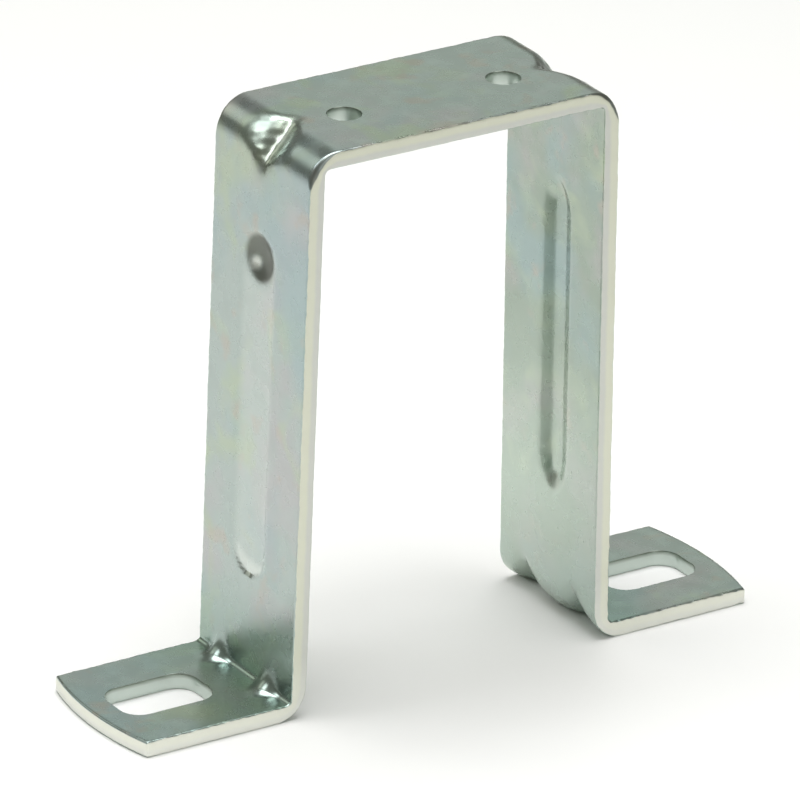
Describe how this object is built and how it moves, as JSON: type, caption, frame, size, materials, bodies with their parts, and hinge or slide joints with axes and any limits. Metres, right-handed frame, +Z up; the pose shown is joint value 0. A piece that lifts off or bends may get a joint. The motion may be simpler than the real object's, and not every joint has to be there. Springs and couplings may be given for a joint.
{
  "type": "fan mount bracket",
  "caption": "Folded flat-bar bridge bracket: a drilled flat web on two beaded legs, with outward feet slotted for bolting down.",
  "frame": {"origin": "middle of the bracket on the plane its feet stand on", "axes": "+X along the bracket from foot to foot, +Y across the bar, +Z up from the feet to the web"},
  "size_m": [0.1266, 0.03, 0.104],
  "materials": {
    "zinc_plate": "satin zinc plate, clear passivated"
  },
  "bodies": {
    "root": {"bracket": "zinc_plate"}
  },
  "joints": []
}
